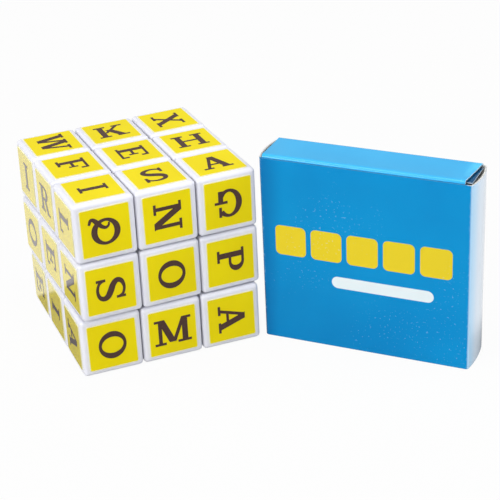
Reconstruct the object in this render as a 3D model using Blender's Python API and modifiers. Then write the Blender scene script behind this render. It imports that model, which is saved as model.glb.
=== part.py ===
"""Word dice game: a three by three letter cube that twists, and the tuck-lid card carton of its deck."""
import math

import bmesh
import bpy
from mathutils import Euler, Matrix, Vector

# Letter cube, over all
CUBE_SIDE = 0.057
DIE_GAP = 0.0003
DIE_ROUND = 0.0012
STICKER_MARGIN = 0.0020
STICKER_THICKNESS = 0.00025
STICKER_CORNER = 0.0009
STICKER_SEAT = 0.0004
DOWN_LAYER_TURN = math.radians(-2.0)

# Tracks inside the cube that the feet of the dice run in
TRACK_HALF_WIDTH = 0.0060
FOOT_ROOT = 0.0033
TRACK_CLEARANCE = 0.0002
HOLLOW_RADIUS = 0.0110

# Six-armed core
HUB_RADIUS = 0.0070
ARM_RADIUS = 0.0030
ARM_REACH = 0.0100
SEAT_GAP = 0.0003

# Centre dice and their caps
NECK_FLOOR = 0.0022
CAP_THICKNESS = 0.0030
SPIGOT_DEPTH = 0.0020
SPIGOT_CLEARANCE = 0.0003

# Screws and springs
SHANK_RADIUS = 0.00115
SHANK_CLEARANCE = 0.0003
SHANK_IN_ARM = 0.0047
POINT_LENGTH = 0.0010
HEAD_RADIUS = 0.0030
HEAD_HEIGHT = 0.0018
HEAD_CHAMFER = 0.0007
HEAD_SIDE_CLEARANCE = 0.0008
HEAD_TOP_CLEARANCE = 0.00215
SPRING_UNDER_HEAD = 0.00028
WIRE_RADIUS = 0.00032
SPRING_TURNS = 4

# Card carton: its front left foot corner stands off the cube's right face and behind its front face
CARTON_STAND_OFF = 0.0011
CARTON_SET_BACK = 0.0003
CARTON_TURN = math.radians(-47.0)
CARTON_WIDTH = 0.0645
CARTON_DEPTH = 0.0150
CARTON_HEIGHT = 0.0605
CARD = 0.0006
CREASE_GAP = 0.0003
INNER_FOLD_RADIUS = 0.0002
END_BOW = 0.0007

# Lid with its tuck flap, which is curled about the lid's crease
LID_LEFT_INSET = 0.0006
LID_RIGHT_INSET_FRONT = 0.0023
LID_RIGHT_INSET_BACK = 0.0010
TUCK_LENGTH = 0.0080
TUCK_END_INSET = 0.0030
TUCK_CORNER = 0.0040
TUCK_FOLD = 0.0005

# Dust flaps under the lid
DUST_LENGTH = 0.0095
DUST_UNDER_LID = 0.0005
DUST_FRONT_INSET = 0.0026
DUST_BACK_INSET = 0.0012
DUST_SLOPE_SHARE = 0.52

# What the carton holds
DECK_BEHIND_TUCK = 0.0008
DECK_HEADROOM = 0.0009
LEAFLET_THICKNESS = 0.0012
LEAFLET_HEADROOM = 0.0029
CONTENTS_GAP = 0.0003
CONTENTS_CORNER = 0.0030

# How far every cutting tool runs past what it cuts
OVERRUN = 0.0020

# Counts of facets
SPHERE_SEGMENTS = 32
ROUND_SEGMENTS = 2
CURL_SEGMENTS = 6
BOW_SEGMENTS = 2
BORE_SIDES = 16
SPRING_POINTS_PER_TURN = 8
MERGE_DISTANCE = 0.00001

# Worked out from the sizes above
HALF_CUBE = CUBE_SIDE / 2
PITCH = CUBE_SIDE / 3
SKIN = HALF_CUBE - STICKER_THICKNESS
HALF_GAP = DIE_GAP / 2
LAYER = PITCH / 2
STICKER_SIDE = PITCH - 2 * STICKER_MARGIN
TRACK_RADIUS = math.sqrt(3) * (LAYER + HALF_GAP) + FOOT_ROOT
FOOT_START = TRACK_HALF_WIDTH + HALF_GAP
NECK_HALF = TRACK_HALF_WIDTH - HALF_GAP
FOOT_SPHERE = TRACK_RADIUS - TRACK_CLEARANCE
SHELL_SPHERE = TRACK_RADIUS + TRACK_CLEARANCE
NECK_START = ARM_REACH + SEAT_GAP
FLOOR_TOP = NECK_START + NECK_FLOOR
CAP_START = SKIN - CAP_THICKNESS
HEAD_START = CAP_START - SPIGOT_DEPTH - HEAD_TOP_CLEARANCE - HEAD_HEIGHT
SPRING_START = FLOOR_TOP + SEAT_GAP
SPRING_LENGTH = HEAD_START - SEAT_GAP - SPRING_START
SPRING_RADIUS = HEAD_RADIUS - SPRING_UNDER_HEAD - WIRE_RADIUS
POCKET_RADIUS = HEAD_RADIUS + HEAD_SIDE_CLEARANCE
HOLE_RADIUS = SHANK_RADIUS + SHANK_CLEARANCE
FOLD_RADIUS = CARD + INNER_FOLD_RADIUS
RIM_HEIGHT = CARTON_HEIGHT - CARD - CREASE_GAP
CREASE_HEIGHT = CARTON_HEIGHT - CARD / 2
CREASE_DEPTH = CARTON_DEPTH - CARD / 2
LID_FRONT = CARD + CREASE_GAP
CURL_RADIUS = CARTON_DEPTH - LID_FRONT - CARD
TUCK_TIP_DEPTH = CREASE_DEPTH - CURL_RADIUS * math.cos(TUCK_LENGTH / CURL_RADIUS)
DUST_HEIGHT = CARTON_HEIGHT - CARD - DUST_UNDER_LID


def clear_scene():
    """Removes what the scene holds, so that only the part is left."""
    for old in list(bpy.data.objects):
        bpy.data.objects.remove(old)


def make_collection(name):
    """A collection of its own, linked to the scene."""
    collection = bpy.data.collections.new(name)
    bpy.context.scene.collection.children.link(collection)
    return collection


def make_material(name, color, roughness, metallic=0.0):
    """A plain surface of one colour."""
    material = bpy.data.materials.new(name)
    material.use_nodes = True
    surface = material.node_tree.nodes["Principled BSDF"]
    surface.inputs["Base Color"].default_value = (*color, 1.0)
    surface.inputs["Roughness"].default_value = roughness
    surface.inputs["Metallic"].default_value = metallic
    material.diffuse_color = (*color, 1.0)
    return material


def mesh_from(bm, name, material):
    """Turns a bmesh into a mesh with one material."""
    bmesh.ops.recalc_face_normals(bm, faces=bm.faces[:])
    mesh = bpy.data.meshes.new(name)
    bm.to_mesh(mesh)
    bm.free()
    mesh.materials.append(material)
    return mesh


def box_bmesh(low, high):
    """A box between two opposite corners."""
    low = Vector(low)
    high = Vector(high)
    size = high - low
    bm = bmesh.new()
    bmesh.ops.create_cube(bm, size=1.0)
    bmesh.ops.scale(bm, vec=size, verts=bm.verts[:])
    bmesh.ops.translate(bm, vec=(low + high) / 2, verts=bm.verts[:])
    return bm


def round_edges(bm, along, radius, segments):
    """Rounds the edges of a bmesh that run along one axis."""
    edges = [edge for edge in bm.edges
             if abs((edge.verts[1].co - edge.verts[0].co).normalized()[along]) > 0.9]
    bmesh.ops.bevel(bm, geom=edges, offset=radius, segments=segments, affect="EDGES", profile=0.5)


def plate_bmesh(outline, low, high):
    """A flat plate: an outline in the XY plane, raised from one height to another."""
    bm = bmesh.new()
    floor = bm.faces.new([bm.verts.new((x, y, low)) for x, y in outline])
    raised = bmesh.ops.extrude_face_region(bm, geom=[floor])
    moved = [item for item in raised["geom"] if isinstance(item, bmesh.types.BMVert)]
    bmesh.ops.translate(bm, vec=(0, 0, high - low), verts=moved)
    return bm


def rounded_outline(corners):
    """An outline through the given corners, each (x, y, radius), with arcs where the radius isn't zero."""
    points = []
    count = len(corners)
    for index, (x, y, radius) in enumerate(corners):
        here = Vector((x, y))
        if radius == 0:
            points.append((x, y))
            continue
        before = (Vector(corners[index - 1][:2]) - here).normalized()
        after = (Vector(corners[(index + 1) % count][:2]) - here).normalized()
        half_angle = before.angle(after) / 2
        centre = here + (before + after).normalized() * (radius / math.sin(half_angle))
        start = here + before * (radius / math.tan(half_angle)) - centre
        end = here + after * (radius / math.tan(half_angle)) - centre
        for step in range(ROUND_SEGMENTS + 1):
            share = step / ROUND_SEGMENTS
            arm = start.lerp(end, share).normalized() * radius
            points.append(tuple(centre + arm))
    return points


class Workshop:
    """Makes pieces: masters are shaped with Booleans, baked to one mesh and copied as objects."""

    def __init__(self, parts, cutters):
        self.parts = parts
        self.cutters = cutters

    def tool(self, mesh):
        """A cutter or a piece to be joined, kept out of the render."""
        obj = bpy.data.objects.new("tool_" + mesh.name, mesh)
        self.cutters.objects.link(obj)
        obj.hide_render = True
        obj.display_type = "WIRE"
        return obj

    def shape(self, name, base, steps, bevel=0.0):
        """Bakes a base mesh after its rounding and a list of (operation, mesh) steps."""
        master = self.tool(base)
        if bevel:
            rounding = master.modifiers.new("rounding", "BEVEL")
            rounding.width = bevel
            rounding.segments = ROUND_SEGMENTS
            rounding.limit_method = "NONE"
        for operation, mesh in steps:
            step = master.modifiers.new(mesh.name, "BOOLEAN")
            step.operation = operation
            step.solver = "EXACT"
            step.material_mode = "TRANSFER"
            step.object = self.tool(mesh)
        bpy.context.view_layer.update()
        graph = bpy.context.evaluated_depsgraph_get()
        baked = bpy.data.meshes.new_from_object(master.evaluated_get(graph))
        baked.name = name
        for tool in list(self.cutters.objects):
            bpy.data.objects.remove(tool)
        return baked

    def thicken(self, name, sheet, offset):
        """Bakes an open sheet after it gets the thickness of card, inwards (-1) or to both sides (0)."""
        master = self.tool(sheet)
        wall = master.modifiers.new("wall", "SOLIDIFY")
        wall.thickness = CARD
        wall.offset = offset
        wall.use_even_offset = True
        bpy.context.view_layer.update()
        baked = bpy.data.meshes.new_from_object(master.evaluated_get(bpy.context.evaluated_depsgraph_get()))
        baked.name = name
        bpy.data.objects.remove(master)
        return baked

    def place(self, name, mesh, parent, turn=None, location=(0, 0, 0)):
        """One named piece of the part, on the empty that carries it."""
        obj = bpy.data.objects.new(name, mesh)
        self.parts.objects.link(obj)
        obj.parent = parent
        obj.location = location
        if turn is not None:
            obj.rotation_euler = turn
        return obj

    def carrier(self, name, parent, location=(0, 0, 0), turn=(0, 0, 0)):
        """An empty on a joint's axis, or at a frame's origin."""
        empty = bpy.data.objects.new(name, None)
        self.parts.objects.link(empty)
        empty.parent = parent
        empty.location = location
        empty.rotation_euler = turn
        return empty


def sphere_mesh(name, radius, material):
    """A ball about the cube's centre."""
    bm = bmesh.new()
    bmesh.ops.create_uvsphere(bm, u_segments=SPHERE_SEGMENTS, v_segments=SPHERE_SEGMENTS // 2, radius=radius)
    return mesh_from(bm, name, material)


def box_mesh(name, low, high, material):
    """A box between two opposite corners, as a mesh."""
    return mesh_from(box_bmesh(low, high), name, material)


def post_mesh(name, radius, low, high, material, sides=BORE_SIDES):
    """A round post along Z."""
    bm = bmesh.new()
    bmesh.ops.create_cone(bm, cap_ends=True, segments=sides, radius1=radius, radius2=radius, depth=high - low)
    bmesh.ops.translate(bm, vec=(0, 0, (low + high) / 2), verts=bm.verts[:])
    return mesh_from(bm, name, material)


def sticker_mesh(name, facing, centre, material):
    """One sticker, seated in the face of a die: facing is 0, 1 or 2 for X, Y or Z."""
    half = STICKER_SIDE / 2
    bm = box_bmesh((-half, -half, -STICKER_SEAT), (half, half, STICKER_THICKNESS))
    round_edges(bm, 2, STICKER_CORNER, ROUND_SEGMENTS)
    turns = (Matrix.Rotation(math.pi / 2, 3, "Y"), Matrix.Rotation(-math.pi / 2, 3, "X"), Matrix.Identity(3))
    bmesh.ops.rotate(bm, cent=(0, 0, 0), matrix=turns[facing], verts=bm.verts[:])
    bmesh.ops.translate(bm, vec=centre, verts=bm.verts[:])
    return mesh_from(bm, name, material)


def corner_mesh(shop, looks):
    """A corner die, shaped at +X +Y +Z: a rounded shell on a foot that is part of a ball."""
    white, yellow = looks["plastic"], looks["sticker"]
    inner = LAYER + HALF_GAP
    foot = shop.shape("corner_foot", box_mesh("block", (FOOT_START,) * 3, (TRACK_RADIUS,) * 3, white),
                      [("INTERSECT", sphere_mesh("foot_ball", FOOT_SPHERE, white))])
    steps = [("UNION", sticker_mesh("sticker_x", 0, (SKIN, PITCH, PITCH), yellow)),
             ("UNION", sticker_mesh("sticker_y", 1, (PITCH, SKIN, PITCH), yellow)),
             ("UNION", sticker_mesh("sticker_z", 2, (PITCH, PITCH, SKIN), yellow)),
             ("UNION", foot),
             ("DIFFERENCE", sphere_mesh("hollow", HOLLOW_RADIUS + TRACK_CLEARANCE, white))]
    return shop.shape("corner_die", box_mesh("shell", (inner,) * 3, (SKIN,) * 3, white), steps, DIE_ROUND)


def edge_mesh(shop, looks):
    """An edge die, shaped at +Y +Z: a shell hollowed for the corner feet, with a neck to its own foot."""
    white, yellow = looks["plastic"], looks["sticker"]
    inner = LAYER + HALF_GAP
    half = LAYER - HALF_GAP
    foot = shop.shape("edge_foot",
                      box_mesh("block", (-NECK_HALF, FOOT_START, FOOT_START),
                               (NECK_HALF, TRACK_RADIUS, TRACK_RADIUS), white),
                      [("INTERSECT", sphere_mesh("foot_ball", FOOT_SPHERE, white))])
    neck = box_mesh("neck", (-NECK_HALF, inner, inner), (NECK_HALF, TRACK_RADIUS, TRACK_RADIUS), white)
    steps = [("DIFFERENCE", sphere_mesh("track", SHELL_SPHERE, white)),
             ("UNION", sticker_mesh("sticker_y", 1, (0, SKIN, PITCH), yellow)),
             ("UNION", sticker_mesh("sticker_z", 2, (0, PITCH, SKIN), yellow)),
             ("UNION", neck),
             ("UNION", foot),
             ("DIFFERENCE", sphere_mesh("hollow", HOLLOW_RADIUS + TRACK_CLEARANCE, white))]
    return shop.shape("edge_die", box_mesh("shell", (-half, inner, inner), (half, SKIN, SKIN), white),
                      steps, DIE_ROUND)


def centre_mesh(shop, looks):
    """A centre die, shaped at +Z: a shell on a square neck, with a pocket for the spring and the screw."""
    white = looks["plastic"]
    half = LAYER - HALF_GAP
    seam = CAP_START - SEAT_GAP
    above = box_mesh("above", (-PITCH, -PITCH, seam), (PITCH, PITCH, SKIN + OVERRUN), white)
    neck = box_mesh("neck", (-NECK_HALF, -NECK_HALF, NECK_START), (NECK_HALF, NECK_HALF, TRACK_RADIUS), white)
    steps = [("DIFFERENCE", above),
             ("DIFFERENCE", sphere_mesh("track", SHELL_SPHERE, white)),
             ("UNION", neck),
             ("DIFFERENCE", post_mesh("pocket", POCKET_RADIUS, FLOOR_TOP, SKIN, white)),
             ("DIFFERENCE", post_mesh("hole", HOLE_RADIUS, ARM_REACH, FLOOR_TOP + OVERRUN, white))]
    shell = box_mesh("shell", (-half, -half, LAYER + HALF_GAP), (half, half, SKIN), white)
    return shop.shape("centre_die", shell, steps, DIE_ROUND)


def cap_mesh(shop, looks):
    """The cap that closes a centre die, with its sticker outside and a spigot inside."""
    white, yellow = looks["plastic"], looks["sticker"]
    half = LAYER - HALF_GAP
    below = box_mesh("below", (-PITCH, -PITCH, 0), (PITCH, PITCH, CAP_START), white)
    spigot = post_mesh("spigot", POCKET_RADIUS - SPIGOT_CLEARANCE, CAP_START - SPIGOT_DEPTH,
                       CAP_START + CAP_THICKNESS / 2, white)
    steps = [("DIFFERENCE", below),
             ("UNION", sticker_mesh("sticker_z", 2, (0, 0, SKIN), yellow)),
             ("UNION", spigot)]
    return shop.shape("centre_cap", box_mesh("shell", (-half, -half, LAYER), (half, half, SKIN), white),
                      steps, DIE_ROUND)


def core_mesh(shop, looks):
    """The core: a ball with six arms, each bored for its screw."""
    dark = looks["core"]
    bm = bmesh.new()
    around = SPHERE_SEGMENTS // 2
    bmesh.ops.create_uvsphere(bm, u_segments=around, v_segments=around // 2, radius=HUB_RADIUS)
    ball = mesh_from(bm, "ball", dark)
    bore_floor = ARM_REACH - SHANK_IN_ARM - SEAT_GAP
    steps = []
    for index, turn in enumerate(AXIS_TURNS.values()):
        arm = post_mesh("arm_%d" % index, ARM_RADIUS, 0, ARM_REACH, dark)
        arm.transform(turn.to_matrix().to_4x4())
        steps.append(("UNION", arm))
    for index, turn in enumerate(AXIS_TURNS.values()):
        bore = post_mesh("bore_%d" % index, HOLE_RADIUS, bore_floor, ARM_REACH + OVERRUN, dark)
        bore.transform(turn.to_matrix().to_4x4())
        steps.append(("DIFFERENCE", bore))
    return shop.shape("core", ball, steps)


def screw_mesh(shop, looks):
    """A pan-head screw along Z, turned from a profile."""
    tip = ARM_REACH - SHANK_IN_ARM
    top = HEAD_START + HEAD_HEIGHT
    profile = [(0, top), (HEAD_RADIUS - HEAD_CHAMFER, top), (HEAD_RADIUS, top - HEAD_CHAMFER),
               (HEAD_RADIUS, HEAD_START), (SHANK_RADIUS, HEAD_START),
               (SHANK_RADIUS, tip + POINT_LENGTH), (0, tip)]
    bm = bmesh.new()
    points = [bm.verts.new((x, 0, z)) for x, z in profile]
    for start, end in zip(points, points[1:]):
        bm.edges.new((start, end))
    line = bpy.data.meshes.new("screw_profile")
    bm.to_mesh(line)
    bm.free()
    line.materials.append(looks["steel"])
    master = shop.tool(line)
    turning = master.modifiers.new("turning", "SCREW")
    turning.angle = 2 * math.pi
    turning.steps = BORE_SIDES
    turning.render_steps = BORE_SIDES
    turning.use_merge_vertices = True
    turning.merge_threshold = MERGE_DISTANCE
    bpy.context.view_layer.update()
    baked = bpy.data.meshes.new_from_object(master.evaluated_get(bpy.context.evaluated_depsgraph_get()))
    baked.name = "screw"
    bpy.data.objects.remove(master)
    return baked


def spring_mesh(shop, looks):
    """A coil spring round the screw: one wire wound on a helix, with its ends capped."""
    curve = bpy.data.curves.new("spring_wire", "CURVE")
    curve.dimensions = "3D"
    curve.bevel_depth = WIRE_RADIUS
    curve.bevel_resolution = 1
    curve.use_fill_caps = True
    count = SPRING_TURNS * SPRING_POINTS_PER_TURN + 1
    wire = curve.splines.new("POLY")
    wire.points.add(count - 1)
    low = SPRING_START + WIRE_RADIUS
    rise = SPRING_LENGTH - 2 * WIRE_RADIUS
    path = []
    for index in range(count):
        share = index / (count - 1)
        angle = 2 * math.pi * SPRING_TURNS * share
        around = Vector((math.cos(angle), math.sin(angle), 0)) * SPRING_RADIUS
        path.append(around + Vector((0, 0, low + rise * share)))
    for point, place in zip(wire.points, path):
        point.co = (*place, 1)
    apart = min((path[far] - path[near]).length for near in range(count)
                for far in range(near + SPRING_POINTS_PER_TURN // 2, count))
    print("least gap of a spring's wire to itself, m: %.5f" % (apart - 2 * WIRE_RADIUS))
    obj = bpy.data.objects.new("spring_wire", curve)
    shop.cutters.objects.link(obj)
    bpy.context.view_layer.update()
    baked = bpy.data.meshes.new_from_object(obj.evaluated_get(bpy.context.evaluated_depsgraph_get()))
    bpy.data.objects.remove(obj)
    bm = bmesh.new()
    bm.from_mesh(baked)
    bmesh.ops.remove_doubles(bm, verts=bm.verts[:], dist=MERGE_DISTANCE)
    bmesh.ops.recalc_face_normals(bm, faces=bm.faces[:])
    bm.to_mesh(baked)
    bm.free()
    baked.name = "spring"
    baked.materials.clear()
    baked.materials.append(looks["steel"])
    return baked


AXIS_TURNS = {
    "up": Euler((0, 0, 0)),
    "down": Euler((math.pi, 0, 0)),
    "front": Euler((math.pi / 2, 0, 0)),
    "back": Euler((-math.pi / 2, 0, 0)),
    "right": Euler((0, math.pi / 2, 0)),
    "left": Euler((0, -math.pi / 2, 0)),
}


def quarter_turns(base, count=4):
    """A turn of a master, followed by each quarter turn about Z."""
    return [(Matrix.Rotation(step * math.pi / 2, 3, "Z") @ base).to_euler() for step in range(count)]


def build_cube(shop, looks):
    """The letter cube: core, screws, springs and the 26 dice, each layer on its own carrier."""
    centre = shop.carrier("cube_centre", None, (0, 0, HALF_CUBE))
    up = shop.carrier("up_layer_axis", centre)
    down = shop.carrier("down_layer_axis", centre, turn=(0, 0, DOWN_LAYER_TURN))
    carriers = {"up": up, "down": down}

    shop.place("core", core_mesh(shop, looks), centre)
    stack = {"screw": screw_mesh(shop, looks), "spring": spring_mesh(shop, looks)}
    dice = {"centre": centre_mesh(shop, looks), "cap": cap_mesh(shop, looks)}
    for side, turn in AXIS_TURNS.items():
        for piece, mesh in stack.items():
            shop.place(piece + "_" + side, mesh, centre, turn)
        for piece, mesh in dice.items():
            shop.place(piece + "_" + side, mesh, carriers.get(side, centre), turn)

    corner = corner_mesh(shop, looks)
    edge = edge_mesh(shop, looks)
    upright = Matrix.Identity(3)
    flipped = Matrix.Rotation(math.pi, 3, "X")
    sideways = Matrix.Rotation(math.pi / 2, 3, "Y")
    corner_names = {"up": ("back_right", "back_left", "front_left", "front_right"),
                    "down": ("front_right", "back_right", "back_left", "front_left")}
    edge_names = {"up": ("back", "left", "front", "right"), "down": ("front", "right", "back", "left")}
    for layer, base in (("up", upright), ("down", flipped)):
        for name, turn in zip(corner_names[layer], quarter_turns(base)):
            shop.place("corner_" + layer + "_" + name, corner, carriers[layer], turn)
        for name, turn in zip(edge_names[layer], quarter_turns(base)):
            shop.place("edge_" + layer + "_" + name, edge, carriers[layer], turn)
    for name, turn in zip(("back_right", "back_left", "front_left", "front_right"), quarter_turns(sideways)):
        shop.place("edge_middle_" + name, edge, centre, turn)


def bowed_outline():
    """The carton's plan, run anticlockwise: small fold radii and two ends that bow outwards."""
    shares = [step / BOW_SEGMENTS for step in range(1, BOW_SEGMENTS)]
    bow = [(CARTON_DEPTH * share, END_BOW * 4 * share * (1 - share)) for share in shares]
    corners = [(0, 0, FOLD_RADIUS), (CARTON_WIDTH, 0, FOLD_RADIUS)]
    corners += [(CARTON_WIDTH + out, y, 0) for y, out in bow]
    corners += [(CARTON_WIDTH, CARTON_DEPTH, FOLD_RADIUS), (0, CARTON_DEPTH, FOLD_RADIUS)]
    corners += [(-out, y, 0) for y, out in reversed(bow)]
    return rounded_outline(corners)


def sleeve_mesh(shop, looks):
    """The carton's body: front, back, two bowed ends and a floor, folded from one sheet of card."""
    bm = plate_bmesh(bowed_outline(), 0, RIM_HEIGHT)
    top = max(bm.faces, key=lambda face: face.calc_center_median().z)
    bmesh.ops.recalc_face_normals(bm, faces=bm.faces[:])
    bmesh.ops.delete(bm, geom=[top], context="FACES_ONLY")
    mesh = bpy.data.meshes.new("sleeve_skin")
    bm.to_mesh(mesh)
    bm.free()
    mesh.materials.append(looks["card"])
    return shop.thicken("carton_sleeve", mesh, -1.0)


def lid_sections():
    """The lid's sections, back edge to tuck tip: depth and height from the crease, then both ends."""
    left = LID_LEFT_INSET
    right = CARTON_WIDTH - LID_RIGHT_INSET_FRONT
    front = TUCK_FOLD - CURL_RADIUS
    sections = [(CARD / 2, 0, left, CARTON_WIDTH - LID_RIGHT_INSET_BACK), (front, 0, left, right)]
    for step in range(1, ROUND_SEGMENTS):
        angle = step / ROUND_SEGMENTS * math.pi / 2
        height = TUCK_FOLD * (math.cos(angle) - 1)
        sections.append((front - TUCK_FOLD * math.sin(angle), height, left, right))
    for step in range(CURL_SEGMENTS + 1):
        down = TUCK_FOLD + (TUCK_LENGTH - TUCK_FOLD) * step / CURL_SEGMENTS
        into_corner = max(0.0, down - TUCK_LENGTH + TUCK_CORNER)
        inset = TUCK_END_INSET + TUCK_CORNER - math.sqrt(TUCK_CORNER ** 2 - into_corner ** 2)
        angle = down / CURL_RADIUS
        depth = -CURL_RADIUS * math.cos(angle)
        sections.append((depth, -CURL_RADIUS * math.sin(angle), left + inset, right - inset))
    return sections


def lid_mesh(shop, looks):
    """The lid and its tuck flap: a strip of card lofted through its sections, then given its thickness."""
    bm = bmesh.new()
    rows = []
    for depth, height, left, right in lid_sections():
        ends = [bm.verts.new((left, depth, height)), bm.verts.new((right, depth, height))]
        rows.append(bm.edges.new(ends))
    for row, following in zip(rows, rows[1:]):
        bmesh.ops.bridge_loops(bm, edges=[row, following])
    strip = mesh_from(bm, "lid_strip", looks["card"])
    return shop.thicken("carton_lid", strip, 0.0)


def dust_mesh(looks, side):
    """A dust flap, from its crease along Y: its back edge slopes so that the lid can lift it."""
    start = CREASE_GAP / 2
    front = DUST_FRONT_INSET
    back = CARTON_DEPTH - DUST_BACK_INSET
    corners = [(start, front, 0), (DUST_LENGTH, front, 0),
               (DUST_LENGTH, back - DUST_LENGTH * DUST_SLOPE_SHARE, 0), (start, back, 0)]
    outline = [(side * x, y) for x, y in rounded_outline(corners)]
    bm = plate_bmesh(outline, -CREASE_GAP / 2 - CARD, -CREASE_GAP / 2)
    return mesh_from(bm, "dust_flap", looks["card"])


def slab_mesh(name, low, high, look):
    """A stack of cards or a folded sheet: a block with rounded corners on its broad faces."""
    bm = box_bmesh(low, high)
    round_edges(bm, 1, CONTENTS_CORNER, ROUND_SEGMENTS)
    return mesh_from(bm, name, look)


def build_carton(shop, looks):
    """The card carton with its lid, flaps, deck and leaflet."""
    corner = (HALF_CUBE + CARTON_STAND_OFF, CARTON_SET_BACK - HALF_CUBE, 0)
    foot = shop.carrier("carton_foot", None, corner, (0, 0, CARTON_TURN))
    shop.place("carton_sleeve", sleeve_mesh(shop, looks), foot)

    lid_crease = shop.carrier("lid_crease", foot, (0, CREASE_DEPTH, CREASE_HEIGHT))
    shop.place("carton_lid", lid_mesh(shop, looks), lid_crease)

    dust_height = DUST_HEIGHT + CREASE_GAP / 2
    crease_inset = CARD + CREASE_GAP / 2
    for name, side, crease in (("left", 1, crease_inset), ("right", -1, CARTON_WIDTH - crease_inset)):
        shop.place("dust_flap_" + name, dust_mesh(looks, side), foot, None, (crease, 0, dust_height))

    left = CARD + CONTENTS_GAP
    right = CARTON_WIDTH - CARD - CONTENTS_GAP
    floor = CARD + CONTENTS_GAP
    leaflet_back = CARTON_DEPTH - CARD - CONTENTS_GAP
    leaflet_front = leaflet_back - LEAFLET_THICKNESS
    deck_back = leaflet_front - CONTENTS_GAP
    deck_front = TUCK_TIP_DEPTH + CARD / 2 + DECK_BEHIND_TUCK
    ceiling = DUST_HEIGHT - CARD
    leaflet = slab_mesh("rules_leaflet", (left, leaflet_front, floor),
                        (right, leaflet_back, ceiling - LEAFLET_HEADROOM), looks["paper"])
    deck = slab_mesh("card_deck", (left, deck_front, floor),
                     (right, deck_back, ceiling - DECK_HEADROOM), looks["deck"])
    shop.place("rules_leaflet", leaflet, foot)
    shop.place("card_deck", deck, foot)


def shade_smooth(parts):
    """Smooth shading on round faces, with sharp edges kept."""
    for mesh in {obj.data for obj in parts.objects if obj.type == "MESH"}:
        mesh.shade_smooth()
        mesh.set_sharp_from_angle(angle=math.radians(35))


def main():
    """Builds the whole part."""
    clear_scene()
    parts = make_collection("word_dice_game")
    cutters = make_collection("cutters")
    shop = Workshop(parts, cutters)
    looks = {
        "plastic": make_material("white_plastic", (0.74, 0.75, 0.80), 0.30),
        "sticker": make_material("yellow_sticker", (0.80, 0.68, 0.02), 0.25),
        "core": make_material("dark_plastic", (0.03, 0.03, 0.035), 0.45),
        "steel": make_material("bright_steel", (0.60, 0.60, 0.62), 0.28, 1.0),
        "card": make_material("blue_card", (0.0, 0.24, 0.62), 0.30),
        "deck": make_material("card_stock", (0.80, 0.80, 0.78), 0.60),
        "paper": make_material("white_paper", (0.82, 0.82, 0.80), 0.80),
    }
    build_cube(shop, looks)
    build_carton(shop, looks)
    shade_smooth(parts)
    bpy.context.view_layer.update()


main()
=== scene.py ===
import itertools
import math
import random

import bmesh
import bpy
from mathutils import Euler, Matrix, Vector


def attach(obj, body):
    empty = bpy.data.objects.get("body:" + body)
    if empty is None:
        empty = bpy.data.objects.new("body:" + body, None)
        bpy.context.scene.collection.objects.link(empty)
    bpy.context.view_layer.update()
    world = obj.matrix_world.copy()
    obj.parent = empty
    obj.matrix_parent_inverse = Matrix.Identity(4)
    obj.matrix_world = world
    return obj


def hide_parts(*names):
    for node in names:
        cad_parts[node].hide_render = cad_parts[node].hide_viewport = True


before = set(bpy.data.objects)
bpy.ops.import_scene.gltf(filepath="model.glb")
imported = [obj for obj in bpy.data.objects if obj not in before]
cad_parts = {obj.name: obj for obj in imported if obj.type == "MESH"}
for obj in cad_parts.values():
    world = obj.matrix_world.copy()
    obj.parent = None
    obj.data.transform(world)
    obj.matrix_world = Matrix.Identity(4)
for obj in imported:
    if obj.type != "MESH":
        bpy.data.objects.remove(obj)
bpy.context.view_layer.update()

mm = 0.001                                    # every shape below is drawn in millimetres

scene = bpy.context.scene
scene.view_settings.view_transform = "Standard"


def setDown(name, data):                      # an object, linked to the scene
    item = bpy.data.objects.new(name, data)
    scene.collection.objects.link(item)
    return item


# the camera comes first: where it stands, and how it looks down at the pair

view = {
    "place": (-137.245, -419.129, 244.238),
    "azimuth": 22.594,                        # turned from +Y towards +X
    "below": 26.804,                          # looking down
    "roll": -2.638,
    "lens": 113.57,
    "sensor": 36.0,
    "clip": (0.02, 20),                       # in metres
}


def makeCamera():
    azimuth, below, roll = (math.radians(view[key]) for key in ("azimuth", "below", "roll"))
    ahead = Vector((math.sin(azimuth) * math.cos(below), math.cos(azimuth) * math.cos(below),
                    -math.sin(below)))
    level = Vector((math.cos(azimuth), -math.sin(azimuth), 0))
    upright = level.cross(ahead)
    right = level * math.cos(roll) + upright * math.sin(roll)
    above = upright * math.cos(roll) - level * math.sin(roll)
    lens = bpy.data.cameras.new("camera")
    lens.lens = view["lens"]
    lens.sensor_width = view["sensor"]
    lens.clip_start, lens.clip_end = view["clip"]
    camera = setDown("camera", lens)
    matrix = Matrix((right, above, -ahead)).transposed().to_4x4()
    matrix.translation = Vector(view["place"]) * mm
    camera.matrix_world = matrix
    scene.camera = camera
    print("camera set")


# shader maths: a value in a node tree, with Python's own operators

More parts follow.
